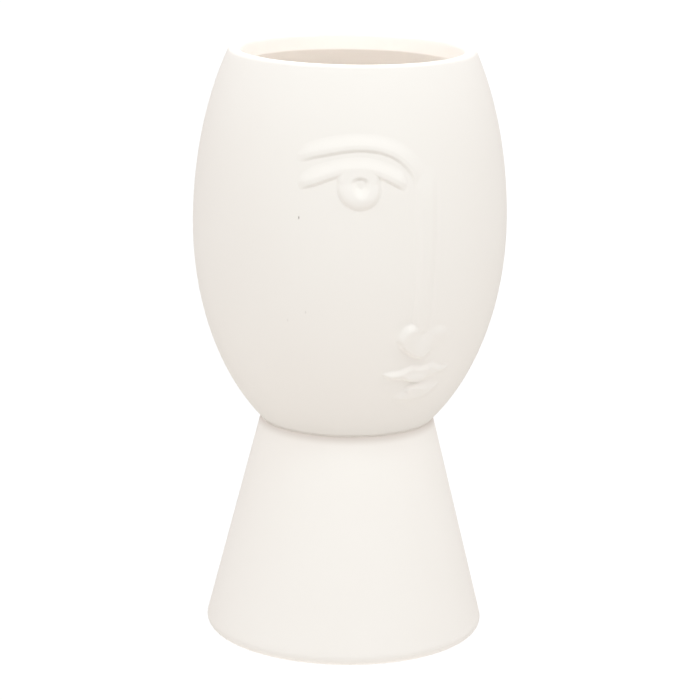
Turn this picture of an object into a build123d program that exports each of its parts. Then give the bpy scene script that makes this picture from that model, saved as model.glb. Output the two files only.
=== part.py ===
from build123d import *
import math
import os

# A face vase: a hollow egg-shaped head with a thick lip, standing on a hollow conical foot, with
# a stylised face laid on the head in low relief. Millimetres, +Z up, the table at Z = 0, the axis
# of the vase on Z, and the middle of the face towards -Y. Angles go round the head in degrees from
# the middle of the face, positive towards +X.

# Head, outside
vase_height = 280.0          # table to the top of the lip
neck_height = 104.6          # table to the crease between foot and head
belly_height = 198.2         # table to the widest place of the head
head_radius = 73.7           # at the widest place
neck_radius = 41.0           # at the crease
mouth_radius = 57.3          # outer edge of the lip, before it is rounded

# Wall and lip
head_wall = 5.0
lip_opening_radius = 51.7    # inside of the lip
lip_depth = 8.0              # height of the upright band inside the lip
lip_undercut_drop = 4.5      # the band runs out into the thinner wall over this height
lip_outer_round = 2.4
lip_inner_round = 2.0
lip_band_round = 1.2         # lower edge of the band

# Foot
base_radius = 67.3           # where the cone would meet the table, before its edge is rounded
foot_wall = 5.0              # at the neck, measured level
foot_ring_width = 6.3        # from the cone's outside to the floor's seat, measured level
base_round = 4.2
ring_inner_round = 0.8

# Floor of the foot, let in from below against a shoulder in the wall
floor_recess = 3.0           # the floor's underside stands this far off the table
floor_thickness = 5.0
floor_clearance = 0.25       # between the floor's edge and the wall
floor_shoulder = 2.2         # how far the wall reaches in over the floor
floor_edge_round = 0.8

# Slip that bonds head and foot, set back to leave the crease
slip_thickness = 0.9
slip_setback = 0.7
slip_inner_clearance = 0.4

# Face, in low relief. The eye and the mouth have their places up the head as level shares: -1 is
# the neck, 0 the belly and 1 the top of the lip. The other features stand off those two.
eye_level_share = 0.346      # the inner end of the eyelid
mouth_level_share = -0.675   # the slit between the lips, at the middle of the mouth

# A roll's section is the outer half of an ellipse, whose foot is buried in the head
roll_depth_ratio = 1.6       # buried half depth of the section to the height that stands out
roll_tilt = 11.0             # degrees: the lower edge of a roll is crisper than its upper edge

brow_outer_angle = -49.2
brow_inner_angle = -4.0
brow_above_lid = 5.7         # between the inner ends of the two, their lowest places
brow_rise = 14.4
brow_half_width = 3.1
brow_relief = 1.7
# Shares along the angle, up the rise, of the half width and of the relief
brow_shares = [
    (-0.035, 0.50, 0.55, -0.45),
    (0.00, 0.53, 0.80, 0.35),
    (0.06, 0.60, 0.95, 0.90),
    (0.20, 0.76, 1.00, 1.00),
    (0.36, 0.93, 1.00, 1.00),
    (0.52, 1.00, 1.00, 1.00),
    (0.67, 0.96, 1.00, 1.00),
    (0.80, 0.79, 1.00, 0.95),
    (0.90, 0.50, 1.00, 0.75),
    (0.97, 0.14, 0.95, 0.45),
    (1.01, -0.22, 0.85, -0.15),
]

lid_outer_angle = -48.6
lid_inner_angle = -8.0
lid_rise = 9.4
lid_half_width = 3.0
lid_relief = 1.7
lid_shares = [
    (-0.035, 0.16, 0.55, -0.45),
    (0.00, 0.22, 0.80, 0.30),
    (0.06, 0.34, 0.95, 0.90),
    (0.17, 0.57, 1.00, 1.00),
    (0.33, 0.86, 1.00, 1.00),
    (0.50, 1.00, 1.00, 1.00),
    (0.66, 0.92, 1.00, 1.00),
    (0.80, 0.63, 1.00, 1.00),
    (0.92, 0.25, 0.90, 0.80),
    (0.98, 0.04, 0.70, 0.25),
    (1.02, -0.12, 0.55, -0.45),
]

iris_angle = -27.0
iris_radius = 8.7
iris_relief = 2.0
pupil_angle = -26.5
pupil_above_iris = 2.8
pupil_radius = 3.5
pupil_depth = 1.5

ridge_angle = -1.8
ridge_above_brow = 2.8       # its top, over the inner end of the brow
ridge_above_tip = 2.1        # its bottom, over the middle of the nose's tip
ridge_half_width = 5.2
ridge_relief = 1.0
ridge_depth_ratio = 3.0
# Shares down the ridge, of the half width and of the relief
ridge_shares = [
    (0.00, 0.80, -0.30),
    (0.08, 0.90, 0.45),
    (0.20, 1.00, 0.90),
    (0.40, 1.00, 1.00),
    (0.65, 1.00, 0.85),
    (0.85, 1.00, 0.80),
    (1.00, 0.90, 0.90),
]

wing_angle = 5.8
wing_above_tip = 4.0
wing_radius = 7.0
wing_relief = 3.0
tip_angle = 0.5
tip_above_mouth = 19.9
tip_radius = 9.7
tip_relief = 3.9

lip_angle = 0.6
lip_reach = 15.0             # degrees from the middle of the mouth to each corner
upper_lip_rise = 3.9         # from the slit to the crest of the upper roll's middle line
upper_lip_half_width = 3.75
upper_lip_relief = 2.4
# Shares of the reach, of the rise, of the half width and of the relief: the bow of the lip
upper_lip_shares = [
    (-1.06, 0.86, 0.30, -0.40),
    (-0.97, 0.86, 0.42, 0.30),
    (-0.80, 0.76, 0.56, 0.75),
    (-0.52, 0.74, 0.72, 0.95),
    (-0.26, 0.98, 0.96, 1.00),
    (0.00, 0.94, 0.93, 0.90),
    (0.26, 0.98, 0.96, 1.00),
    (0.52, 0.74, 0.72, 0.95),
    (0.80, 0.76, 0.56, 0.75),
    (0.97, 0.86, 0.42, 0.30),
    (1.06, 0.86, 0.30, -0.40),
]

lower_lip_reach = 12.5       # degrees from the middle of the mouth to each corner
lower_lip_drop = 6.0         # from the slit to the lowest place of the lower roll's middle line
lower_lip_half_width = 5.0
lower_lip_relief = 2.6
# Shares of the reach, of the drop, of the half width and of the relief
lower_lip_shares = [
    (-1.08, 0.28, 0.30, -0.40),
    (-0.98, 0.34, 0.45, 0.30),
    (-0.76, 0.58, 0.66, 0.80),
    (-0.42, 0.90, 0.92, 1.00),
    (0.00, 1.00, 1.00, 0.95),
    (0.42, 0.90, 0.92, 1.00),
    (0.76, 0.58, 0.66, 0.80),
    (0.98, 0.34, 0.45, 0.30),
    (1.08, 0.28, 0.30, -0.40),
]

# Egg form of the head: two quarter ellipses that share the belly
lower_axis = (belly_height - neck_height) / math.sqrt(1 - (neck_radius / head_radius) ** 2)
upper_axis = (vase_height - belly_height) / math.sqrt(1 - (mouth_radius / head_radius) ** 2)


def egg_radius(level, inset=0):
    """Radius of the head at a level, or of its inside where the wall is the inset."""
    axis = (lower_axis if level < belly_height else upper_axis) - inset
    return (head_radius - inset) * math.sqrt(1 - ((level - belly_height) / axis) ** 2)


def egg_arcs(bottom, top, inset=0):
    """The two arcs of the head's outline between two levels, drawn in the open BuildLine."""
    low_angle = math.degrees(math.asin((belly_height - bottom) / (lower_axis - inset)))
    high_angle = math.degrees(math.asin((top - belly_height) / (upper_axis - inset)))
    middle = (0, belly_height)
    EllipticalCenterArc(
        middle, head_radius - inset, lower_axis - inset, start_angle=0, arc_size=-low_angle
    )
    EllipticalCenterArc(
        middle, head_radius - inset, upper_axis - inset, start_angle=high_angle, arc_size=-high_angle
    )


def face_level(share):
    """Level of a place on the face, from its level share."""
    reach = vase_height - belly_height if share > 0 else belly_height - neck_height
    return belly_height + reach * share


def cone_radius(level):
    """Outside radius of the foot at a level."""
    return base_radius + (neck_radius - base_radius) * level / neck_height


# Head: one wall with a thick lip, open at the mouth and at the neck
head_bottom = neck_height + slip_thickness / 2
band_bottom = vase_height - lip_depth
undercut_bottom = band_bottom - lip_undercut_drop
undercut_radius = egg_radius(undercut_bottom, head_wall)

with BuildPart() as head_shell:
    with BuildSketch(Plane.XZ):
        with BuildLine():
            egg_arcs(head_bottom, vase_height)
            Polyline(
                (mouth_radius, vase_height),
                (lip_opening_radius, vase_height),
                (lip_opening_radius, band_bottom),
                (undercut_radius, undercut_bottom),
            )
            egg_arcs(head_bottom, undercut_bottom, head_wall)
            Line(
                (egg_radius(head_bottom), head_bottom),
                (egg_radius(head_bottom, head_wall), head_bottom),
            )
        make_face()
        lip_corners = vertices().group_by(Axis.Y)[-1].sort_by(Axis.X)
        fillet(lip_corners[0], lip_inner_round)
        fillet(vertices().group_by(Axis.Y)[-1].sort_by(Axis.X)[-1], lip_outer_round)
        band_corner = vertices().filter_by(
            lambda corner: math.isclose(corner.Y, band_bottom, abs_tol=lip_band_round / 100)
        )
        fillet(band_corner, lip_band_round)
    revolve(axis=Axis.Z)

# The head as a solid form, which the back of every relief is cut to
with BuildPart() as head_form:
    with BuildSketch(Plane.XZ):
        with BuildLine():
            egg_arcs(neck_height, vase_height)
            Polyline(
                (mouth_radius, vase_height),
                (0, vase_height),
                (0, neck_height),
                (neck_radius, neck_height),
            )
        make_face()
    revolve(axis=Axis.Z)

# Foot: a cone with a rounded edge; its wall thickens downwards to the shoulder over the floor
foot_top = neck_height - slip_thickness / 2
floor_top = floor_recess + floor_thickness
floor_seat_radius = cone_radius(floor_top) - foot_ring_width
shoulder_radius = floor_seat_radius - floor_shoulder

with BuildPart() as foot_cone:
    with BuildSketch(Plane.XZ):
        with BuildLine():
            Polyline(
                (cone_radius(foot_top), foot_top),
                (base_radius, 0),
                (floor_seat_radius, 0),
                (floor_seat_radius, floor_top),
                (shoulder_radius, floor_top),
                (cone_radius(foot_top) - foot_wall, foot_top),
                close=True,
            )
        make_face()
        ground_corners = vertices().group_by(Axis.Y)[0].sort_by(Axis.X)
        fillet(ground_corners[0], ring_inner_round)
        fillet(vertices().group_by(Axis.Y)[0].sort_by(Axis.X)[-1], base_round)
    revolve(axis=Axis.Z)

# Floor: a disc under the shoulder, clear of the table
floor_radius = floor_seat_radius - floor_clearance
with BuildPart() as base_floor:
    with BuildSketch(Plane.XZ):
        with Locations((floor_radius / 2, floor_recess + floor_thickness / 2)):
            Rectangle(floor_radius, floor_thickness)
        outer_corners = vertices().group_by(Axis.X)[-1]
        fillet(outer_corners.sort_by(Axis.Y)[0], floor_edge_round)
    revolve(axis=Axis.Z)

# Slip between the two rims
slip_inner_radius = cone_radius(foot_top) - foot_wall + slip_inner_clearance
slip_outer_radius = cone_radius(foot_top) - slip_setback
with BuildPart() as neck_slip_joint:
    with BuildSketch(Plane.XZ):
        with Locations(((slip_inner_radius + slip_outer_radius) / 2, neck_height)):
            Rectangle(slip_outer_radius - slip_inner_radius, slip_thickness)
    revolve(axis=Axis.Z)


def head_normal(angle, level):
    """Outward unit normal of the head."""
    axis = lower_axis if level < belly_height else upper_axis
    share = (level - belly_height) / axis
    slope = -head_radius / axis * share / math.sqrt(1 - share**2)
    turn = math.radians(angle)
    return Vector(math.sin(turn), -math.cos(turn), -slope).normalized()


def on_head(angle, level, lift=0):
    """Point at an angle and a level, lifted off the head's surface or sunk under it."""
    turn = math.radians(angle)
    radius = egg_radius(level)
    point = Vector(radius * math.sin(turn), -radius * math.cos(turn), level)
    return point + head_normal(angle, level) * lift


def relief_roll(stations, relief, depth_ratio=roll_depth_ratio, tilt=roll_tilt, upright=False):
    """A roll of clay lofted along the head. A station holds angle, level, half width and lift.

    Its sections are half ellipses, so that each has its own foot line inside the head. They stand
    square to the roll's line, or upright where that line wavers too much for them.
    """
    depth = relief * depth_ratio
    places = [on_head(angle, level) for angle, level, half_width, lift in stations]
    sections = []
    for index, (angle, level, half_width, lift) in enumerate(stations):
        if upright:
            along = Vector(1, 0, 0).rotate(Axis.Z, angle)
        else:
            before = places[max(index - 1, 0)]
            after = places[min(index + 1, len(places) - 1)]
            along = (after - before).normalized()
        normal = head_normal(angle, level)
        across = normal.cross(along)
        middle = places[index] + normal * (lift - depth)
        section_plane = Plane(origin=middle, x_dir=across, z_dir=along).rotated((0, 0, -tilt))
        with BuildSketch(section_plane) as section:
            with BuildLine():
                EllipticalCenterArc((0, 0), half_width, depth, start_angle=0, arc_size=180)
                Line((-half_width, 0), (half_width, 0))
            make_face()
        sections.append(section.sketch)
    return loft(sections) - head_form.part


def relief_cap(angle, level, radius, relief):
    """A round dome of the given radius and height on the head, as a sphere sunk into it."""
    sphere_radius = (radius**2 + relief**2) / (2 * relief)
    return Pos(on_head(angle, level, relief - sphere_radius)) * Sphere(sphere_radius)


def between(start, end, share):
    """Value at a share of the way from one to another."""
    return start + (end - start) * share


# Iris: a dome with the pupil pressed into it
eye_level = face_level(eye_level_share)
pupil_level = eye_level + pupil_above_iris
pupil_ball_radius = (pupil_radius**2 + pupil_depth**2) / (2 * pupil_depth)
pupil_floor_lift = iris_relief - pupil_depth
pupil_ball = Pos(on_head(pupil_angle, pupil_level, pupil_floor_lift + pupil_ball_radius))
pupil_ball *= Sphere(pupil_ball_radius)
iris = relief_cap(iris_angle, eye_level, iris_radius, iris_relief) - head_form.part - pupil_ball

# Brow and eyelid: two long rolls that arch over the eye, the lid laid over the top of the iris
brow_foot_level = eye_level + brow_above_lid
brow_stations = [
    (
        between(brow_outer_angle, brow_inner_angle, angle_share),
        brow_foot_level + brow_rise * rise_share,
        brow_half_width * width_share,
        brow_relief * relief_share,
    )
    for angle_share, rise_share, width_share, relief_share in brow_shares
]
brow = relief_roll(brow_stations, brow_relief)

lid_stations = [
    (
        between(lid_outer_angle, lid_inner_angle, angle_share),
        eye_level + lid_rise * rise_share,
        lid_half_width * width_share,
        lid_relief * relief_share,
    )
    for angle_share, rise_share, width_share, relief_share in lid_shares
]
eyelid = relief_roll(lid_stations, lid_relief) - brow - iris

# Tip of the nose: two wings and the tip between and below them
mouth_level = face_level(mouth_level_share)
tip_level = mouth_level + tip_above_mouth
wing_level = tip_level + wing_above_tip
nose_tip = relief_cap(-wing_angle, wing_level, wing_radius, wing_relief)
nose_tip += relief_cap(wing_angle, wing_level, wing_radius, wing_relief)
nose_tip += relief_cap(tip_angle, tip_level, tip_radius, tip_relief)
nose_tip = nose_tip - head_form.part

# Ridge of the nose: a low broad band from the end of the brow down to the tip
ridge_top_level = brow_foot_level + ridge_above_brow
ridge_bottom_level = tip_level + ridge_above_tip
ridge_stations = [
    (
        ridge_angle,
        between(ridge_top_level, ridge_bottom_level, down_share),
        ridge_half_width * width_share,
        ridge_relief * relief_share,
    )
    for down_share, width_share, relief_share in ridge_shares
]
nose_ridge = relief_roll(ridge_stations, ridge_relief, ridge_depth_ratio, tilt=0)
nose_ridge = nose_ridge - nose_tip - brow

# Lips: the upper with its bow, the lower one full, parted by the slit
upper_lip_stations = [
    (
        lip_angle + lip_reach * reach_share,
        mouth_level + upper_lip_rise * rise_share,
        upper_lip_half_width * width_share,
        upper_lip_relief * relief_share,
    )
    for reach_share, rise_share, width_share, relief_share in upper_lip_shares
]
upper_lip = relief_roll(upper_lip_stations, upper_lip_relief, tilt=0, upright=True)

lower_lip_stations = [
    (
        lip_angle + lower_lip_reach * reach_share,
        mouth_level - lower_lip_drop * drop_share,
        lower_lip_half_width * width_share,
        lower_lip_relief * relief_share,
    )
    for reach_share, drop_share, width_share, relief_share in lower_lip_shares
]
lower_lip = relief_roll(lower_lip_stations, lower_lip_relief, tilt=0, upright=True) - upper_lip

nodes = {
    "head_shell": head_shell.part,
    "neck_slip_joint": neck_slip_joint.part,
    "foot_cone": foot_cone.part,
    "base_floor": base_floor.part,
    "brow": brow,
    "eyelid": eyelid,
    "iris": iris,
    "nose_ridge": nose_ridge,
    "nose_tip": nose_tip,
    "upper_lip": upper_lip,
    "lower_lip": lower_lip,
}

os.makedirs("parts", exist_ok=True)
for name, solid in nodes.items():
    export_step(solid, f"parts/{name}.step")
    print(name, len(solid.solids()), round(solid.volume, 1))
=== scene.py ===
import math

import bpy
import numpy as np
from mathutils import Matrix, Vector


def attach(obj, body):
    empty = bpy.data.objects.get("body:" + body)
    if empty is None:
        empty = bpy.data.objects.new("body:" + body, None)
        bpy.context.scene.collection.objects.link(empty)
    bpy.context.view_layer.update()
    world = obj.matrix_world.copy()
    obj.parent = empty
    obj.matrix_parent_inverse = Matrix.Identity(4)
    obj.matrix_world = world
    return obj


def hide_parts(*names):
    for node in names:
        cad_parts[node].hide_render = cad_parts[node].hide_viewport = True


# A face vase of matt white stoneware: a hollow egg-shaped head with a thick lip, standing on a
# hollow conical foot, with a stylised face laid on the head in low relief. Metres, +Z up, the table
# at Z = 0, the axis of the vase on Z, and the middle of the face towards -Y.

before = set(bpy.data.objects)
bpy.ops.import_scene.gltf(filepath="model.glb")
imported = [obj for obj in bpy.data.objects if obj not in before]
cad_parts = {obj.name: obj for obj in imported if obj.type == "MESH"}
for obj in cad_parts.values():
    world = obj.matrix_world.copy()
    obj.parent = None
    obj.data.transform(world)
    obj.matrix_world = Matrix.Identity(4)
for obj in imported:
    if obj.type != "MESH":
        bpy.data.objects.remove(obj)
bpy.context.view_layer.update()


# The foot: a hollow cone of stoneware, cast in a plaster mould and trued on the wheel, with a
# rounded bottom edge. Inside, its wall thickens downwards to a shoulder that takes the floor. It is
# glazed matt white, like the head.
mm = 0.001                       # in metres
neck_height = 104.6 * mm
neck_radius = 41.0 * mm
base_radius = 67.3 * mm          # where the cone would meet the table, before its edge is rounded
base_round = 4.2 * mm
foot_wall = 5.0 * mm             # at the neck
ring_width = 6.3 * mm            # from the cone's outside to the seat of the floor
ring_inner_round = 0.8 * mm
floor_recess = 3.0 * mm
floor_thickness = 5.0 * mm
floor_shoulder = 2.2 * mm
slip_thickness = 0.9 * mm
rim_round = 0.4 * mm             # the sponged edges of the two rims at the crease
outline_step = 1.6 * mm          # longest edge along an outline
arc_steps = 8                    # edges in a rounded corner
turn_steps = 288                 # edges round the axis
spindle = 1.0 * mm               # radius of the path that an outline is carried along
weld = 0.002 * mm                # points closer than this are one, as at the axis


def rounded_outline(corners):
    """Points of an outline from (radius, level, round) corners, with arcs and even steps."""
    points = []
    for index, (radius, level, rounding) in enumerate(corners):
        corner = Vector((radius, level))
        if not rounding:
            points.append(corner)
            continue
        back = (Vector(corners[index - 1][:2]) - corner).normalized()
        ahead = (Vector(corners[(index + 1) % len(corners)][:2]) - corner).normalized()
        half = back.angle(ahead) / 2
        middle = corner + (back + ahead).normalized() * rounding / math.sin(half)
        start = (corner + back * rounding / math.tan(half) - middle).normalized()
        end = (corner + ahead * rounding / math.tan(half) - middle).normalized()
        spokes = (start.slerp(end, step / arc_steps) for step in range(arc_steps + 1))
        points += [middle + spoke * rounding for spoke in spokes]
    stepped = []
    for index, point in enumerate(points):
        follower = points[(index + 1) % len(points)]
        parts = max(1, math.ceil((follower - point).length / outline_step))
        stepped += [point.lerp(follower, part / parts) for part in range(parts)]
    return stepped


def add_node(tree, kind, inputs=None, **settings):
    """Adds a node with its settings. An input is a value, or a socket to link from."""
    node = tree.nodes.new(kind)
    for name, value in settings.items():
        setattr(node, name, value)
    for name, value in (inputs or {}).items():
        if isinstance(value, bpy.types.NodeSocket):
            tree.links.new(value, node.inputs[name])
        else:
            node.inputs[name].default_value = value
    return node


def turning_tree():
    """Geometry Nodes that turn an outline round the axis into a closed wall, as on a wheel."""
    tree = bpy.data.node_groups.new("turned on the wheel", "GeometryNodeTree")
    side = tree.interface.new_socket
    side("Geometry", in_out="INPUT", socket_type="NodeSocketGeometry")
    side("Steps", in_out="INPUT", socket_type="NodeSocketInt")
    side("Spindle", in_out="INPUT", socket_type="NodeSocketFloat")
    side("Finish", in_out="INPUT", socket_type="NodeSocketMaterial")
    side("Geometry", in_out="OUTPUT", socket_type="NodeSocketGeometry")
    given = add_node(tree, "NodeGroupInput").outputs
    outline = add_node(tree, "GeometryNodeMeshToCurve", {"Mesh": given["Geometry"]})
    circle = add_node(
        tree,
        "GeometryNodeCurvePrimitiveCircle",
        {"Resolution": given["Steps"], "Radius": given["Spindle"]},
    )
    upright = add_node(
        tree, "GeometryNodeSetCurveNormal", {"Curve": circle.outputs["Curve"]}, mode="Z_UP"
    )
    wall = add_node(
        tree,
        "GeometryNodeCurveToMesh",
        {"Curve": upright.outputs["Curve"], "Profile Curve": outline.outputs["Curve"]},
    )
    joined = add_node(
        tree, "GeometryNodeMergeByDistance", {"Geometry": wall.outputs["Mesh"], "Distance": weld}
    )
    smooth = add_node(tree, "GeometryNodeSetShadeSmooth", {"Geometry": joined.outputs["Geometry"]})
    real = add_node(tree, "GeometryNodeRealizeInstances", {"Geometry": smooth.outputs["Geometry"]})
    finished = add_node(
        tree,
        "GeometryNodeSetMaterial",
        {"Geometry": real.outputs["Geometry"], "Material": given["Finish"]},
    )
    add_node(tree, "NodeGroupOutput", {"Geometry": finished.outputs["Geometry"]})
    return tree


wheel = turning_tree()


def turned_piece(name, outline, finish):
    """A piece turned from its outline, as a plain mesh whose faces point outwards."""
    blank = bpy.data.meshes.new(name)
    corners = [(point.x - spindle, -point.y, 0) for point in outline]
    count = len(corners)
    blank.from_pydata(corners, [(step, (step + 1) % count) for step in range(count)], [])
    piece = bpy.data.objects.new(name, blank)
    bpy.context.collection.objects.link(piece)
    turning = piece.modifiers.new("turning", "NODES")
    turning.node_group = wheel
    values = {"Steps": turn_steps, "Spindle": spindle, "Finish": finish}
    for item in wheel.interface.items_tree:
        if item.in_out == "INPUT" and item.name in values:
            turning[item.identifier] = values[item.name]
    bpy.context.view_layer.update()
    result = piece.evaluated_get(bpy.context.evaluated_depsgraph_get())
    mesh = bpy.data.meshes.new_from_object(result)
    piece.modifiers.remove(turning)
    piece.data = mesh
    bpy.data.meshes.remove(blank)
    mesh.name = name
    face_outwards(mesh)
    return piece


def face_outwards(mesh):
    """Turns a closed mesh's faces over where its signed volume says that they point inwards."""
    mesh.calc_loop_triangles()
    corners = np.empty(len(mesh.vertices) * 3)
    mesh.vertices.foreach_get("co", corners)
    triangles = np.empty(len(mesh.loop_triangles) * 3, dtype=int)
    mesh.loop_triangles.foreach_get("vertices", triangles)
    a, b, c = corners.reshape(-1, 3)[triangles.reshape(-1, 3)].transpose(1, 0, 2)
    if np.einsum("ij,ij", a, np.cross(b, c)) < 0:
        mesh.flip_normals()


def colour(code):
    """Linear colour of an sRGB hex code."""
    parts = [int(code[start : start + 2], 16) / 255 for start in (1, 3, 5)]
    linear = [
        part / 12.92 if part < 0.04045 else ((part + 0.055) / 1.055) ** 2.4 for part in parts
    ]
    return linear + [1]


def new_finish(name):
    """A named material with its tree, its shader and the place on the object."""
    finish = bpy.data.materials.new(name)
    finish.use_nodes = True
    tree = finish.node_tree
    shader = tree.nodes["Principled BSDF"]
    place = add_node(tree, "ShaderNodeTexCoord").outputs["Object"]
    return finish, tree, shader, place


mix_first, mix_second, mix_result = 6, 7, 2      # a Mix node's sockets for colours
glaze_drift = 71.43 * mm         # from one cloud of tone to the next
glaze_wave = 16.67 * mm          # from crest to crest of the slow waves that the sponge leaves
glaze_wave_height = 0.12 * mm
glaze_peel = 1.429 * mm          # grain of the orange peel
glaze_peel_height = 0.012 * mm
crease_shade_below = 5.0 * mm            # painted shade reaches so far below the crease
crease_shade_above = 0.5 * mm            # and so far above it
pinhole_core = 0.1 * mm
pinhole_radius = 0.42 * mm
pinhole_squeeze = (1, 1, 0.42)   # a pinhole is drawn out upwards, as the glaze runs
pinholes = [                     # place in mm, and strength
    ((-54.47, -48.88, 213.5), 0.85),
    ((-50.98, -49.92, 170.0), 0.2),
    ((-56.14, -42.62, 165.3), 0.15),
]


def matte_white_glaze():
    """Satin white glaze, sprayed on and fired: it scatters nearly all light, without a mirror image.
    It has a faint orange peel, slow waves, a painted shade in a narrow band at the crease that is
    darkest just under it, and pinholes."""
    finish, tree, shader, place = new_finish("matte white glaze")
    drift = add_node(
        tree, "ShaderNodeTexNoise", {"Vector": place, "Scale": 1 / glaze_drift, "Detail": 3.0}
    )
    tint = add_node(
        tree,
        "ShaderNodeMix",
        {
            "Factor": drift.outputs["Fac"],
            mix_first: colour("#F6F4EE"),
            mix_second: colour("#F3F0E9"),
        },
        data_type="RGBA",
    )
    height = add_node(tree, "ShaderNodeSeparateXYZ", {"Vector": place}).outputs["Z"]
    # Painted shade: the colour is greyed in a band from a few mm under the crease to just over it,
    # for the shade that the head's overhang casts on the foot.
    below = add_node(
        tree,
        "ShaderNodeMapRange",
        {"Value": height, "From Min": neck_height - crease_shade_below, "From Max": neck_height},
        interpolation_type="SMOOTHSTEP",
    )
    above = add_node(
        tree,
        "ShaderNodeMapRange",
        {
            "Value": height,
            "From Min": neck_height,
            "From Max": neck_height + crease_shade_above,
            "To Min": 1.0,
            "To Max": 0.0,
        },
    )
    crease = add_node(
        tree,
        "ShaderNodeMath",
        {0: below.outputs["Result"], 1: above.outputs["Result"]},
        operation="MULTIPLY",
    )
    # Mixes in the painted shade at the crease.
    painted_crease_shade = add_node(
        tree,
        "ShaderNodeMix",
        {
            "Factor": crease.outputs["Value"],
            mix_first: tint.outputs[mix_result],
            mix_second: colour("#DED8D0"),
        },
        data_type="RGBA",
    )
    shade = painted_crease_shade.outputs[mix_result]
    for spot, strength in pinholes:
        spot = Vector(spot) * mm
        away = add_node(tree, "ShaderNodeVectorMath", {0: place, 1: spot}, operation="SUBTRACT")
        drawn = add_node(
            tree,
            "ShaderNodeVectorMath",
            {0: away.outputs["Vector"], 1: pinhole_squeeze},
            operation="MULTIPLY",
        )
        reach = add_node(
            tree, "ShaderNodeVectorMath", {0: drawn.outputs["Vector"]}, operation="LENGTH"
        )
        hole = add_node(
            tree,
            "ShaderNodeMapRange",
            {
                "Value": reach.outputs["Value"],
                "From Min": pinhole_core,
                "From Max": pinhole_radius,
                "To Min": strength,
                "To Max": 0.0,
            },
        )
        dark = add_node(
            tree,
            "ShaderNodeMix",
            {"Factor": hole.outputs["Result"], mix_first: shade, mix_second: colour("#8E847A")},
            data_type="RGBA",
        )
        shade = dark.outputs[mix_result]
    tree.links.new(shade, shader.inputs["Base Color"])
    waves = add_node(tree, "ShaderNodeTexNoise", {"Vector": place, "Scale": 1 / glaze_wave})
    slow = add_node(
        tree,
        "ShaderNodeBump",
        {"Height": waves.outputs["Fac"], "Strength": 1.0, "Distance": glaze_wave_height},
    )
    peel = add_node(
        tree,
        "ShaderNodeTexNoise",
        {"Vector": place, "Scale": 1 / glaze_peel, "Detail": 3.0, "Roughness": 0.55},
    )
    fine = add_node(
        tree,
        "ShaderNodeBump",
        {
            "Height": peel.outputs["Fac"],
            "Strength": 1.0,
            "Distance": glaze_peel_height,
            "Normal": slow.outputs["Normal"],
        },
    )
    tree.links.new(fine.outputs["Normal"], shader.inputs["Normal"])
    shader.inputs["Roughness"].default_value = 0.62
    shader.inputs["Specular IOR Level"].default_value = 0.3
    return finish


glaze = matte_white_glaze()


def cone_radius(level):
    """Outside radius of the foot at a level."""
    return base_radius + (neck_radius - base_radius) * level / neck_height


foot_top = neck_height - slip_thickness / 2
floor_top = floor_recess + floor_thickness
seat_radius = cone_radius(floor_top) - ring_width
foot = turned_piece(
    "foot",
    rounded_outline(
        [
            (cone_radius(foot_top), foot_top, rim_round),
            (base_radius, 0, base_round),
            (seat_radius, 0, ring_inner_round),
            (seat_radius, floor_top, 0),
            (seat_radius - floor_shoulder, floor_top, 0),
            (cone_radius(foot_top) - foot_wall, foot_top, 0),
        ]
    ),
    glaze,
)
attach(foot, "root")
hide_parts("foot_cone")


# The floor: a disc of the same clay, rolled out and luted in under the shoulder from below, with a
# softened lower edge. It is left unglazed, and makes the foot hold water.
floor_clearance = 0.25 * mm
floor_edge_round = 0.8 * mm
clay_grain = 0.5556 * mm
clay_grain_height = 0.05 * mm


def bare_clay():
    """Unglazed fired clay: dry and without shine, a little darker than the glaze, with a fine sandy
    grain that is drawn somewhat coarse, so that it shows."""
    finish, tree, shader, place = new_finish("bare fired clay")
    grain = add_node(
        tree,
        "ShaderNodeTexNoise",
        {"Vector": place, "Scale": 1 / clay_grain, "Detail": 4.0, "Roughness": 0.6},
    )
    tint = add_node(
        tree,
        "ShaderNodeMix",
        {
            "Factor": grain.outputs["Fac"],
            mix_first: colour("#E9E2D6"),
            mix_second: colour("#DDD4C6"),
        },
        data_type="RGBA",
    )
    tree.links.new(tint.outputs[mix_result], shader.inputs["Base Color"])
    rough = add_node(
        tree,
        "ShaderNodeBump",
        {"Height": grain.outputs["Fac"], "Strength": 1.0, "Distance": clay_grain_height},
    )
    tree.links.new(rough.outputs["Normal"], shader.inputs["Normal"])
    shader.inputs["Roughness"].default_value = 0.9
    shader.inputs["Specular IOR Level"].default_value = 0.15
    return finish


floor_radius = seat_radius - floor_clearance
floor_disc = turned_piece(
    "floor_disc",
    rounded_outline(
        [
            (0, floor_recess, 0),
            (floor_radius, floor_recess, floor_edge_round),
            (floor_radius, floor_top, 0),
            (0, floor_top, 0),
        ]
    ),
    bare_clay(),
)
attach(floor_disc, "root")
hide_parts("base_floor")


# The joint at the neck: a thin ring of slip, which is clay stirred with water, laid between the two
# scored rims and wiped back inside the crease before the glaze went on.
slip_setback = 0.15 * mm
slip_inner_clearance = 0.4 * mm
slip_drag = 1.111 * mm           # from mark to mark of the wiping finger
slip_drag_height = 0.04 * mm


def joining_slip():
    """Fired slip in the crease: matt and a touch darker, where the glaze runs thin."""
    finish, tree, shader, place = new_finish("joining slip")
    drag = add_node(tree, "ShaderNodeTexNoise", {"Vector": place, "Scale": 1 / slip_drag})
    wiped = add_node(
        tree,
        "ShaderNodeBump",
        {"Height": drag.outputs["Fac"], "Strength": 1.0, "Distance": slip_drag_height},
    )
    tree.links.new(wiped.outputs["Normal"], shader.inputs["Normal"])
    shader.inputs["Base Color"].default_value = colour("#F1EDE6")
    shader.inputs["Roughness"].default_value = 0.8
    shader.inputs["Specular IOR Level"].default_value = 0.2
    return finish


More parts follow.
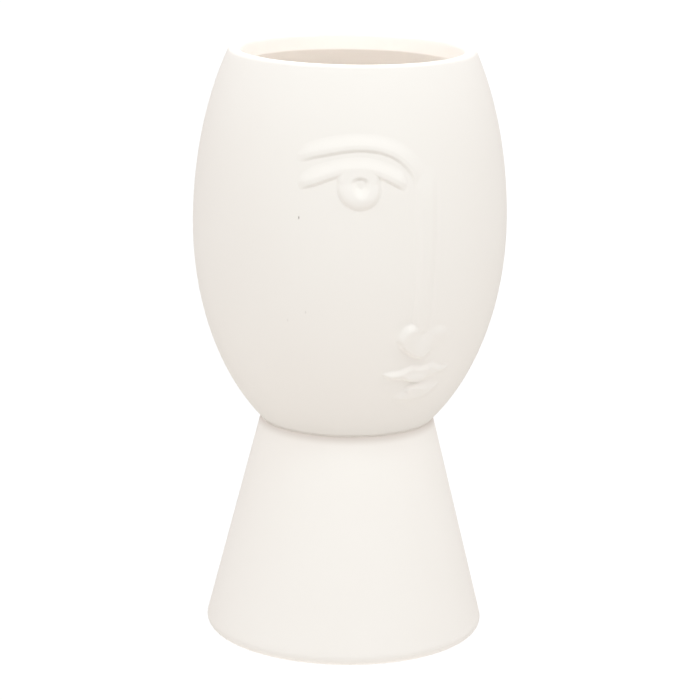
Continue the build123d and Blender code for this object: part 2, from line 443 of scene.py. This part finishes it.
slip_inner = cone_radius(foot_top) - foot_wall + slip_inner_clearance
slip_outer = cone_radius(foot_top) - slip_setback
head_bottom = neck_height + slip_thickness / 2
neck_slip = turned_piece(
    "neck_slip",
    rounded_outline(
        [
            (slip_inner, foot_top, 0),
            (slip_outer, foot_top, 0),
            (slip_outer, head_bottom, 0),
            (slip_inner, head_bottom, 0),
        ]
    ),
    joining_slip(),
)
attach(neck_slip, "root")
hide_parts("neck_slip_joint")


# The head: one wall of stoneware in the form of an egg, cast in a plaster mould and cut open at the
# mouth and at the neck. Its lip is left thick, with an upright band inside that runs out into the
# thinner wall. It stands on the slip.
head_radius = 73.7 * mm          # at the belly
belly_height = 198.2 * mm
vase_height = 280.0 * mm
mouth_radius = 57.3 * mm
head_wall = 5.0 * mm
lip_opening_radius = 51.7 * mm
lip_depth = 8.0 * mm
lip_undercut_drop = 9.0 * mm
lip_outer_round = 2.4 * mm
lip_inner_round = 2.0 * mm
lip_band_round = 1.2 * mm
egg_steps = 136                  # edges along its outside, and again along its inside
lower_axis = (belly_height - neck_height) / math.sqrt(1 - (neck_radius / head_radius) ** 2)
upper_axis = (vase_height - belly_height) / math.sqrt(1 - (mouth_radius / head_radius) ** 2)


def egg_radius(level, inset=0.0):
    """Radius of the head at a level, or of its inside where the wall is the inset."""
    axis = np.where(np.asarray(level) < belly_height, lower_axis, upper_axis) - inset
    return (head_radius - inset) * np.sqrt(1 - ((level - belly_height) / axis) ** 2)


def egg_stretch(bottom, top, inset=0.0):
    """Corners without rounding along the head's outline between two levels, without its ends."""
    low = math.asin((bottom - belly_height) / (lower_axis - inset))
    high = math.asin((top - belly_height) / (upper_axis - inset))
    stretch = []
    for step in range(1, egg_steps):
        angle = low + (high - low) * step / egg_steps
        axis = (lower_axis if angle < 0 else upper_axis) - inset
        level = belly_height + axis * math.sin(angle)
        stretch.append(((head_radius - inset) * math.cos(angle), level, 0))
    return stretch


band_bottom = vase_height - lip_depth
undercut_bottom = band_bottom - lip_undercut_drop
neck_rim = (float(egg_radius(head_bottom)), head_bottom, rim_round)
neck_inner_rim = (float(egg_radius(head_bottom, head_wall)), head_bottom, 0)
head = turned_piece(
    "head",
    rounded_outline(
        [neck_rim]
        + egg_stretch(head_bottom, vase_height - lip_outer_round)
        + [
            (mouth_radius, vase_height, lip_outer_round),
            (lip_opening_radius, vase_height, lip_inner_round),
            (lip_opening_radius, band_bottom, lip_band_round),
            (float(egg_radius(undercut_bottom, head_wall)), undercut_bottom, 0),
        ]
        + egg_stretch(head_bottom, undercut_bottom, head_wall)[::-1]
        + [neck_inner_rim]
    ),
    glaze,
)
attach(head, "root")
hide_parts("head_shell")


# The brow: the first of the rolls of clay that make the face. A roll is pressed on with slip and
# smoothed into the wall with a damp sponge, with a long soft upper side and a crisp lower edge that
# catches the shadow. It is glazed over with the head.
face_angles = np.linspace(-58, 26, 421)        # degrees from the middle of the face
face_levels = np.linspace(117, 256, 557)       # mm over the table, as all sizes of the face are in mm
buried = 0.5                                   # mm that a piece's back stands inside the wall
feather = 0.02                                 # mm that its rim dips under what it is smoothed into
feather_reach = 0.05                           # mm of its own rise over which that dip ends
shown_from = 0.004                             # mm over the ground from which a piece shows
angle, level = np.meshgrid(face_angles, face_levels)
ground = np.zeros_like(angle)                  # mm of clay laid on the wall so far


def on_head(angle, level, lift):
    """Points at angles in degrees from the middle of the face, lifted off the head's surface."""
    turn = np.radians(angle)
    axis = np.where(np.asarray(level) < belly_height, lower_axis, upper_axis)
    share = (level - belly_height) / axis
    rise = head_radius / axis * share / np.sqrt(1 - share**2)
    flat = 1 / np.sqrt(1 + rise**2)
    radius = egg_radius(level) + lift * flat
    places = [radius * np.sin(turn), -radius * np.cos(turn), level + lift * flat * rise]
    return np.stack(places, axis=-1)


def smooth_line(stops, count=160, closed=False):
    """A smooth line through rows of values, as evenly stepped rows."""
    given = np.array(stops, dtype=float)
    if closed:
        ends = np.vstack([given[-1], given, given[:2]])
        given = ends[1:-1]
    else:
        ends = np.vstack([2 * given[0] - given[1], given, 2 * given[-1] - given[-2]])
    places = np.linspace(0, len(given) - 1 - 1e-9, count)
    first = places.astype(int)
    t = (places - first)[:, None]
    a, b, c, d = (ends[first + shift] for shift in range(4))
    square, cube = 2 * a - 5 * b + 4 * c - d, 3 * b - a - 3 * c + d
    return 0.5 * (2 * b + (c - a) * t + square * t**2 + cube * t**3)


def spread(turn, rise):
    """Millimetres along the head's surface, sideways and up, of places on the face."""
    sideways = egg_radius(rise * mm) / mm * np.radians(turn)
    return np.stack([sideways, rise * np.ones_like(turn)], axis=-1)


def nearest(track, reach):
    """Distance from a track, the place on it and the side of it, up to a reach."""
    places = spread(angle, level)
    distance = np.full(angle.shape, np.inf)
    where = np.zeros(angle.shape)
    side = np.ones(angle.shape)
    low, high = track.min(axis=0) - reach, track.max(axis=0) + reach
    near = np.nonzero(((places > low) & (places < high)).all(axis=-1))
    flat = places[near]
    best, best_where, best_side = (field[near] for field in (distance, where, side))
    for index, (start, leg) in enumerate(zip(track[:-1], track[1:] - track[:-1])):
        away = flat - start
        share = np.clip(away @ leg / (leg @ leg), 0, 1)
        gap = np.hypot(*(away - share[:, None] * leg).T)
        nearer = gap < best
        best = np.where(nearer, gap, best)
        best_where = np.where(nearer, index + share, best_where)
        best_side = np.where(nearer, np.sign(leg[0] * away[:, 1] - leg[1] * away[:, 0]), best_side)
    distance[near], where[near], side[near] = best, best_where, best_side
    return distance, where, side


def ease(share):
    """A soft step from 0 to 1."""
    share = np.clip(share, 0, 1)
    return share * share * (3 - 2 * share)


roll_reach = 9.5                 # mm, more than the widest roll
roll_foot = 0.5                  # mm that a roll bulges out below its lower edge
far_away = 1000.0                # mm, for places out of reach


def roll(stops, crest):
    """Height of a roll along stops of angle, level, relief and width. The stops follow its lower
    edge, from left to right. The roll is highest at its crest, so far over that edge, with a round
    underside below it and a long fall above it."""
    line = smooth_line(stops)
    distance, where, side = nearest(spread(line[:, 0], line[:, 1]), roll_reach)
    relief, width = (np.interp(where, np.arange(len(line)), line[:, column]) for column in (2, 3))
    over = np.minimum(distance, far_away) * side
    rounding = 1 - (1 - np.clip((over + roll_foot) / (crest + roll_foot), 0, 1)) ** 3
    underside = (ease(over + roll_foot) + rounding) / 2
    fall = np.clip((over - crest) / (width - crest), 0, 1)
    return np.maximum(relief, 0) * underside * (1 - fall) ** 2 * (1 + fall)


def cushion(outline, relief, edge):
    """Height of a cushion inside an outline, with a rounded edge of a width."""
    line = smooth_line(outline, count=240, closed=True)
    distance = nearest(spread(line[:, 0], line[:, 1]), np.max(edge))[0]
    inside = np.zeros(angle.shape, dtype=bool)
    for (left, low), (right, high) in zip(line[:-1], line[1:]):
        crossed = (low <= level) != (high <= level)
        reached = left + (level - low) / (high - low if high != low else 1) * (right - left)
        inside ^= crossed & (angle < reached)
    return relief * np.where(inside, ease(distance / edge), 0)


def sponged(height, passes):
    """A height smoothed over with a damp sponge."""
    for step in range(passes):
        padded = np.pad(height, 1)
        height = (padded[:-2] + 2 * padded[1:-1] + padded[2:]) / 4
        height = (height[:, :-2] + 2 * height[:, 1:-1] + height[:, 2:]) / 4
    return height


def lay_on(name, height, blend=4):
    """Lays a height on the face as a closed piece of its own, and returns the face's new height.
    The piece is smoothed into what is there already, and less so the higher the blend."""
    joined = (ground**blend + height**blend) ** (1 / blend)
    rise = joined - ground
    shown = rise > shown_from
    keep = shown[1:, 1:] | shown[1:, :-1] | shown[:-1, 1:] | shown[:-1, :-1]
    top = joined - feather * (1 - ease(rise / feather_reach))
    outer = on_head(angle, level * mm, top * mm).reshape(-1, 3)
    back = on_head(angle, level * mm, np.full_like(top, -buried * mm)).reshape(-1, 3)
    columns = angle.shape[1]
    row, column = np.nonzero(keep)
    first = row * columns + column
    quads = np.stack([first, first + 1, first + columns + 1, first + columns], axis=1)
    faces = [quads, quads[:, ::-1] + len(outer)]
    fence = np.pad(keep, 1)
    # Each side of a quad: the corner it starts at, and the steps up and right to the quad beyond it
    for start, up, right in ((0, -1, 0), (1, 0, 1), (2, 1, 0), (3, 0, -1)):
        open_side = ~fence[row + 1 + up, column + 1 + right]
        a, b = quads[open_side, start], quads[open_side, (start + 1) % 4]
        faces.append(np.stack([b, a, a + len(outer), b + len(outer)], axis=1))
    used, faces = np.unique(np.concatenate(faces), return_inverse=True)
    faces = faces.reshape(-1, 4)
    mesh = bpy.data.meshes.new(name + "_clay")
    mesh.from_pydata(np.concatenate([outer, back])[used].tolist(), [], faces.tolist())
    mesh.polygons.foreach_set("use_smooth", np.ones(len(faces), dtype=bool))
    edges = np.empty(len(mesh.loops), dtype=int)
    mesh.loops.foreach_get("edge_index", edges)
    rim = np.zeros(len(mesh.edges), dtype=bool)
    rim[edges.reshape(-1, 4)[2 * len(quads) :]] = True
    mesh.attributes.new("sharp_edge", "BOOLEAN", "EDGE").data.foreach_set("value", rim)
    mesh.materials.append(glaze)
    face_outwards(mesh)
    piece = bpy.data.objects.new(name + "_clay", mesh)
    bpy.context.collection.objects.link(piece)
    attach(piece, "root")
    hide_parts(name)
    return joined


brow = [                         # angle, level of the lower edge, relief, width
    (-49.2, 238.2, 0.00, 3.6),
    (-47.8, 238.8, 0.30, 4.6),
    (-46.0, 239.4, 0.70, 6.2),
    (-43.0, 240.5, 1.00, 7.4),
    (-37.4, 242.0, 1.20, 8.0),
    (-31.9, 243.3, 1.20, 8.0),
    (-27.2, 243.8, 1.20, 8.0),
    (-22.8, 243.6, 1.20, 8.0),
    (-18.3, 242.6, 1.20, 8.2),
    (-13.8, 240.3, 1.20, 8.4),
    (-10.5, 237.2, 1.00, 8.4),
    (-7.9, 233.6, 0.80, 8.4),
    (-6.8, 230.6, 0.40, 7.4),
    (-6.5, 227.6, 0.00, 6.0),
]
ground = lay_on("brow", sponged(roll(brow, crest=2.4), passes=2))


# The eyelid: a second, shorter roll of the same clay under the brow, pressed on and smoothed in the
# same way, with its two ends left fuller.
eyelid = [                       # as the brow's
    (-48.4, 226.3, 0.00, 4.0),
    (-47.1, 226.8, 0.45, 5.2),
    (-45.5, 227.4, 0.95, 6.8),
    (-43.0, 228.3, 1.30, 7.8),
    (-40.6, 229.5, 1.35, 8.2),
    (-37.1, 231.2, 1.30, 8.0),
    (-34.0, 232.5, 1.15, 7.8),
    (-30.0, 233.4, 1.05, 7.8),
    (-25.7, 233.6, 1.05, 7.8),
    (-22.1, 233.0, 1.15, 7.8),
    (-19.2, 231.8, 1.25, 8.0),
    (-15.6, 229.8, 1.35, 8.0),
    (-13.4, 228.3, 1.30, 7.6),
    (-11.8, 227.1, 0.75, 5.8),
    (-10.4, 226.1, 0.00, 3.6),
]
ground = lay_on("eyelid", sponged(roll(eyelid, crest=2.6), passes=2))


# The iris: a low button of clay, pressed on under the lid, level with it above and fuller below.
# The pupil is pressed in from above with a rounded tool, so that its floor runs out softly
# downwards.
iris_angle = -26.9
iris_level = 227.4
iris_radius = 9.8
iris_relief = 1.10               # at its top, as the lid
iris_fullness = 1.1              # more relief at its bottom
iris_full_above = 4.0            # where it begins to grow fuller, over its middle
iris_full_drop = 10.0            # and how far down it does
iris_stretch = 0.6               # of the distance upwards, as its top runs in under the lid
iris_edge = 6                    # power: how square its edge is below
iris_top_edge = 14               # and at the top
iris_square_level = 229.0        # where the edge begins to grow squarer
iris_square_rise = 3.0
iris_fade_level = 233.6          # where it begins to run out into the lid
iris_fade = 3.4
iris_blend = 24                  # high, as it only touches the lid
pupil_angle = -26.4
pupil_level = 229.6
pupil_half_width = 4.4
pupil_rise = 3.0                 # from its deepest place to its upper edge
pupil_drop = 7.4                 # and to its lower edge
pupil_depth = 1.75
pupil_bowl = 1.5                 # power: how softly its edge runs out


def around(turn, rise):
    """Millimetres sideways and up from a place on the face."""
    return np.moveaxis(spread(angle, level) - spread(turn, rise), -1, 0)


aside, upward = around(iris_angle, iris_level)
outward = np.hypot(aside, upward * np.where(upward > 0, iris_stretch, 1)) / iris_radius
iris = iris_relief + iris_fullness * ease((iris_level + iris_full_above - level) / iris_full_drop)
squarer = ease((level - iris_square_level) / iris_square_rise)
iris = iris * np.clip(1 - outward ** (iris_edge + (iris_top_edge - iris_edge) * squarer), 0, 1)
fading = ease((level - iris_fade_level) / iris_fade)
iris = iris * (1 - fading) + np.minimum(iris, ground) * fading
aside, upward = around(pupil_angle, pupil_level)
upward = upward / np.where(upward > 0, pupil_rise, pupil_drop)
pupil = pupil_depth * np.clip(1 - (aside / pupil_half_width) ** 2 - upward**2, 0, 1) ** pupil_bowl
ground = lay_on("iris", sponged(np.maximum(iris - pupil, 0), passes=2), blend=iris_blend)


# The ridge of the nose: a low flat band of clay, laid on from the brow down to the tip, and
# sponged so far down that it hardly shows.
ridge_relief = 0.75
ridge_edge = 3.2                 # width of its rounded edge
ridge_top_level = 222.0          # where it begins to run out upwards
ridge_run_out = 16.0
nose_ridge = [                   # angle, level
    (-6.4, 240.0),
    (2.4, 240.0),
    (2.6, 222.0),
    (2.4, 204.0),
    (1.8, 184.0),
    (1.4, 160.0),
    (-5.6, 160.0),
    (-6.0, 184.0),
    (-6.4, 204.0),
    (-6.4, 222.0),
]
band = cushion(nose_ridge, ridge_relief, ridge_edge)
band *= 1 - ease((level - ridge_top_level) / ridge_run_out)
ground = lay_on("nose_ridge", sponged(band, passes=4))


# The tip of the nose: a heart-shaped cushion of clay with a wing on each side, pressed on over the
# end of the ridge. It rises out of the ridge without a step, and its right wing lies lower.
nose_relief = 2.3
nose_edge = 1.9                  # width of its rounded edge below
nose_edge_above = 2.4            # more width above
nose_edge_right = 5.5            # more width at the lower right
nose_middle_level = 152.0        # between below and above
nose_middle_rise = 9.0
nose_edge_run = 8.0              # degrees over which its edge grows wider to the right
nose_fall = 0.5                  # share of the relief that the right wing lacks
nose_fall_angle = -2.0           # where it begins to fall off
nose_fall_run = 8.0
nose_foot_fall = 0.3             # share that the foot of the right wing lacks too
nose_foot_run = 6.0
notch_angle = 0.4
notch_half_width = 4.2           # degrees
notch_depth = 0.95               # share of the relief
notch_level = 149.0              # where it begins
notch_rise = 12.0
nose_tip = [                     # angle, level
    (-11.6, 156.5),
    (-11.0, 160.4),
    (-8.6, 163.8),
    (-5.3, 164.9),
    (-1.9, 163.5),
    (0.9, 161.8),
    (3.6, 162.0),
    (7.0, 162.4),
    (10.6, 160.4),
    (13.0, 156.6),
    (12.4, 152.8),
    (8.6, 148.6),
    (4.2, 146.8),
    (0.2, 146.0),
    (-3.6, 147.4),
    (-7.0, 149.9),
    (-10.0, 153.2),
]
upper = ease((level - nose_middle_level) / nose_middle_rise)
edge = nose_edge + nose_edge_above * upper
edge += nose_edge_right * (1 - upper) * ease(angle / nose_edge_run)
nose = cushion(nose_tip, nose_relief, edge)
wing_fall = nose_fall * ease((angle - nose_fall_angle) / nose_fall_run)
foot_fall = nose_foot_fall * (1 - upper) * ease(angle / nose_foot_run)
nose *= 1 - wing_fall - foot_fall
notch = np.exp(-np.abs((angle - notch_angle) / notch_half_width) ** 3)
nose *= 1 - notch_depth * notch * ease((level - notch_level) / notch_rise)
ground = lay_on("nose_tip", sponged(nose, passes=6))


# The upper lip: a cushion of clay with the bow of the lip in its upper edge and a thin tail at each
# side. It is pressed on like the rest, and its lower edge is cut crisp at the slit with a needle.
upper_lip_relief = 1.6
upper_lip_edge = 2.8             # width of its rounded edge
bow_fall = 0.2                   # share of the relief that it lacks from its bow on
bow_fall_angle = -6.0
bow_fall_run = 4.0               # degrees over which it falls off
tail_fall = 0.15                 # share that its right tail lacks too
tail_fall_angle = 3.0
tail_fall_run = 8.0
slit_angle = -0.6                # the middle of the slit
slit_half_width = 4.4            # degrees
slit_cut = 1.8                   # width that the rounded edge lacks at the slit
slit_cut_level = 136.5           # up to which it lacks all of it
slit_cut_rise = 2.0
slit_lift = 0.6                  # share by which the lip stands out over the slit
slit_lift_level = 137.0          # up to which it does in full
slit_lift_rise = 3.0
upper_lip = [                    # angle, level
    (-15.6, 139.4),
    (-12.8, 141.2),
    (-9.2, 141.4),
    (-5.9, 142.6),
    (-2.6, 143.9),
    (1.2, 143.0),
    (4.1, 143.2),
    (6.6, 144.0),
    (10.1, 142.4),
    (14.0, 141.2),
    (17.4, 139.8),
    (15.0, 137.2),
    (9.3, 135.6),
    (5.0, 134.9),
    (1.8, 134.5),
    (-1.2, 134.6),
    (-3.8, 135.3),
    (-7.8, 136.0),
    (-12.6, 136.2),
]
slit = np.exp(-(((angle - slit_angle) / slit_half_width) ** 4))
edge = upper_lip_edge - slit_cut * slit * (1 - ease((level - slit_cut_level) / slit_cut_rise))
lip = cushion(upper_lip, upper_lip_relief, edge)
from_bow = bow_fall * ease((angle - bow_fall_angle) / bow_fall_run)
lip *= 1 - from_bow - tail_fall * ease((angle - tail_fall_angle) / tail_fall_run)
lip *= 1 + slit_lift * slit * (1 - ease((level - slit_lift_level) / slit_lift_rise))
ground = lay_on("upper_lip", sponged(lip, passes=2))


# The lower lip: a fuller cushion of clay under the slit of the mouth, pressed on last, and flat to
# the right.
lower_lip_relief = 1.7
lower_lip_edge = 4.2             # width of its rounded edge
lower_cut = 2.4                  # width that the edge lacks at the slit
lower_cut_level = 129.0          # from which it begins to lack it
lower_cut_rise = 2.0
lower_lip_fall = 0.35            # share of the relief that its right side lacks
lower_lip_fall_angle = 4.0
lower_lip_fall_run = 8.0
lower_lip = [                    # angle, level
    (-9.0, 126.4),
    (-8.0, 128.8),
    (-5.4, 131.2),
    (-2.6, 132.8),
    (0.6, 133.6),
    (5.5, 134.0),
    (10.0, 133.8),
    (14.0, 132.8),
    (15.6, 130.6),
    (13.6, 126.4),
    (9.0, 123.8),
    (3.0, 122.8),
    (-3.0, 122.6),
    (-7.6, 123.8),
]
edge = lower_lip_edge - lower_cut * slit * ease((level - lower_cut_level) / lower_cut_rise)
lip = cushion(lower_lip, lower_lip_relief, edge)
lip *= 1 - lower_lip_fall * ease((angle - lower_lip_fall_angle) / lower_lip_fall_run)
ground = lay_on("lower_lip", sponged(lip, passes=2))


# The stage: a plain white floor that fades into the white of the backdrop. It gives no light and no
# shade of its own, as the light of the tent stands for its glow.
floor_size = 6.0                 # metres
floor_gap = 0.05 * mm            # under the foot
paper_glow = 1.05                # a little over white, for the floor and the backdrop


def plain_white():
    """Bright paper, evenly lit."""
    finish = bpy.data.materials.new("white paper")
    finish.use_nodes = True
    tree = finish.node_tree
    tree.nodes.clear()
    glow = add_node(
        tree, "ShaderNodeEmission", {"Color": colour("#FFFFFF"), "Strength": paper_glow}
    )
    add_node(tree, "ShaderNodeOutputMaterial", {"Surface": glow.outputs["Emission"]})
    return finish


bpy.ops.mesh.primitive_plane_add(size=floor_size, location=(0, 0, -floor_gap))
floor = bpy.context.object
floor.name = "floor"
floor.data.materials.append(plain_white())
floor.visible_diffuse = False
floor.visible_glossy = False
floor.visible_shadow = False


# The light of the studio: a tent whose walls glow in a wide ring above the vase, with a bright
# white table under it, two soft boxes high in front, a weak one behind, and a snooted lamp behind
# that shines down into the mouth. The camera itself sees only white behind the vase.
tent_strength = 2.42
tent_stops = [                   # from straight down to straight up, linear colours
    (0.00, (0.95, 0.90, 0.88, 1)),
    (0.25, (0.14, 0.14, 0.13, 1)),
    (0.50, (0.01, 0.01, 0.01, 1)),
    (0.75, (1.00, 0.96, 0.97, 1)),
    (0.90, (0.31, 0.29, 0.29, 1)),
    (1.00, (0.05, 0.05, 0.05, 1)),
]
lamp_distance = 2.0              # metres
box_size = 0.6                   # metres along a side
soft_boxes = [                   # azimuth and elevation in degrees, power, colour
    ("left front box", -65, 55, 3.5, (0.80, 0.98, 1.0)),
    ("right front box", 5, 55, 5.0, (0.80, 0.98, 1.0)),
    ("back box", 150, 60, 2.0, (1.0, 0.84, 0.72)),
]
snoot_beam_radius = 32.0 * mm    # in the mouth
snoot_lamp_radius = 20.0 * mm
snoot_soft_edge = 0.3            # share of the beam

world = bpy.data.worlds.new("studio tent")
bpy.context.scene.world = world
world.use_nodes = True
sky = world.node_tree
sky.nodes.clear()
direction = add_node(sky, "ShaderNodeTexCoord").outputs["Generated"]
upwards = add_node(sky, "ShaderNodeSeparateXYZ", {"Vector": direction})
height = add_node(sky, "ShaderNodeMapRange", {"Value": upwards.outputs["Z"], "From Min": -1.0})
walls = add_node(sky, "ShaderNodeValToRGB", {"Fac": height.outputs["Result"]})
stops = walls.color_ramp.elements
while len(stops) < len(tent_stops):
    stops.new(0.5)
for stop, (position, tone) in zip(stops, tent_stops):
    stop.position = position
    stop.color = tone
tent = add_node(
    sky, "ShaderNodeBackground", {"Color": walls.outputs["Color"], "Strength": tent_strength}
)
paper = add_node(sky, "ShaderNodeBackground", {"Color": colour("#FFFFFF"), "Strength": paper_glow})
seen = add_node(sky, "ShaderNodeLightPath").outputs["Is Camera Ray"]
both = add_node(sky, "ShaderNodeMixShader", {"Fac": seen, 1: tent.outputs[0], 2: paper.outputs[0]})
add_node(sky, "ShaderNodeOutputWorld", {"Surface": both.outputs[0]})


def hang_lamp(name, kind, aim, azimuth, elevation, power, tone):
    """A lamp that looks at a place from an azimuth and elevation in degrees. Returns its data."""
    lamp = bpy.data.lights.new(name, kind)
    lamp.energy = power
    lamp.color = tone
    holder = bpy.data.objects.new(name, lamp)
    bpy.context.collection.objects.link(holder)
    turn, rise = math.radians(azimuth), math.radians(elevation)
    flat = math.cos(rise)
    away = Vector((math.sin(turn) * flat, -math.cos(turn) * flat, math.sin(rise)))
    holder.location = aim + away * lamp_distance
    holder.rotation_euler = away.to_track_quat("Z", "Y").to_euler()
    return lamp


for name, azimuth, elevation, power, tone in soft_boxes:
    box = hang_lamp(name, "AREA", Vector((0, 0, vase_height / 2)), azimuth, elevation, power, tone)
    box.shape = "SQUARE"
    box.size = box_size

snoot = hang_lamp(
    "snoot",
    "SPOT",
    Vector((0, 0, vase_height)),
    azimuth=150,
    elevation=45,
    power=540.0,
    tone=(1.0, 0.86, 0.90),
)
snoot.spot_size = 2 * math.atan(snoot_beam_radius / lamp_distance)
snoot.spot_blend = snoot_soft_edge
snoot.shadow_soft_size = snoot_lamp_radius


# The camera: a long lens, held somewhat higher than the lip of the vase and looking a little down
# on it, 30 degrees to the left of the face.
camera_azimuth = math.radians(-30)
camera_distance = 1329.4 * mm    # level distance from the axis
camera_height = 468.1 * mm
camera_dip = math.radians(14.04)
camera_roll = math.radians(0.9)
camera_lens = 148.19             # mm
camera_sensor = 36.0             # mm
camera_shift = 0.00326           # of the picture's width
camera_near = 50.0 * mm

camera_data = bpy.data.cameras.new("camera")
camera_data.sensor_width = camera_sensor
camera_data.lens = camera_lens
camera_data.shift_x = camera_shift
camera_data.clip_start = camera_near
camera = bpy.data.objects.new("camera", camera_data)
bpy.context.collection.objects.link(camera)
place = Matrix.Translation(
    (
        math.sin(camera_azimuth) * camera_distance,
        -math.cos(camera_azimuth) * camera_distance,
        camera_height,
    )
)
camera.matrix_world = (
    place
    @ Matrix.Rotation(camera_azimuth, 4, "Z")
    @ Matrix.Rotation(math.pi / 2 - camera_dip, 4, "X")
    @ Matrix.Rotation(camera_roll, 4, "Z")
)
bpy.context.scene.camera = camera
bpy.context.scene.view_settings.view_transform = "Standard"
